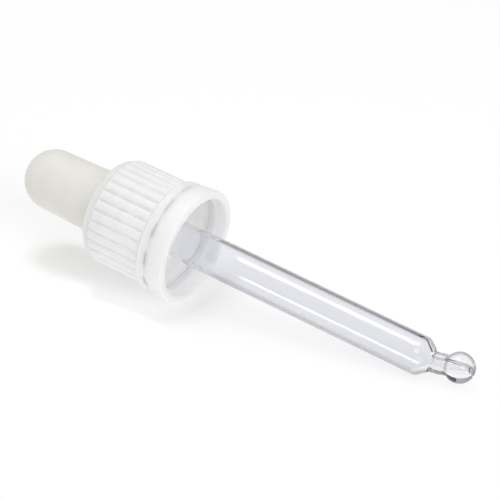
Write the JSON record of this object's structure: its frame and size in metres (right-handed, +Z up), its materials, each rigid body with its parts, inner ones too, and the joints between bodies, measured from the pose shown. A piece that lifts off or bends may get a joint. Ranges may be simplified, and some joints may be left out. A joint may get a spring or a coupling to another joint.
{
  "type": "medicine dropper",
  "caption": "Pipette dropper closure for an 18 mm neck bottle: rubber teat, ribbed screw cap with tamper-evident ring, glass pipette with bent ball tip.",
  "frame": {"origin": "middle of the dropper's footprint, on the surface it lies on", "axes": "+X from the teat to the pipette's tip, +Y across the dropper, +Z up; the dropper's own axis lies in the XZ plane and leans down towards the tip"},
  "size_m": [0.0942, 0.0218, 0.0232],
  "materials": {
    "teat_rubber": "matt off-white rubber",
    "cap_plastic": "satin white polypropylene",
    "ring_plastic": "smooth white polypropylene",
    "pipette_glass": "clear flame-polished glass"
  },
  "bodies": {
    "cap": {"screw_cap": "cap_plastic", "tamper_bridge_01": "ring_plastic", "tamper_bridge_02": "ring_plastic", "tamper_bridge_03": "ring_plastic", "tamper_bridge_04": "ring_plastic", "tamper_bridge_05": "ring_plastic", "tamper_bridge_06": "ring_plastic", "tamper_bridge_07": "ring_plastic", "tamper_bridge_08": "ring_plastic", "tamper_bridge_09": "ring_plastic", "tamper_bridge_10": "ring_plastic", "tamper_bridge_11": "ring_plastic", "tamper_bridge_12": "ring_plastic"},
    "pipette": {"glass_pipette": "pipette_glass"},
    "teat": {"rubber_teat": "teat_rubber"},
    "ring": {"tamper_ring": "ring_plastic"}
  },
  "joints": [
    {"name": "cap_turn", "type": "hinge", "parent": "cap", "child": "pipette", "pos_m": [-0.00998, 0, 0.01075], "axis": [0.9883, 0, -0.1527], "continuous": true},
    {"name": "teat_press", "type": "slide", "parent": "pipette", "child": "teat", "axis": [0.9883, 0, -0.1527], "range_m": [0, 0.005], "stiffness_N_per_m": 500, "deforming": ["rubber_teat"]},
    {"name": "ring_release", "type": "slide", "parent": "cap", "child": "ring", "axis": [0.9883, 0, -0.1527], "range_m": [0, 0.009]}
  ]
}
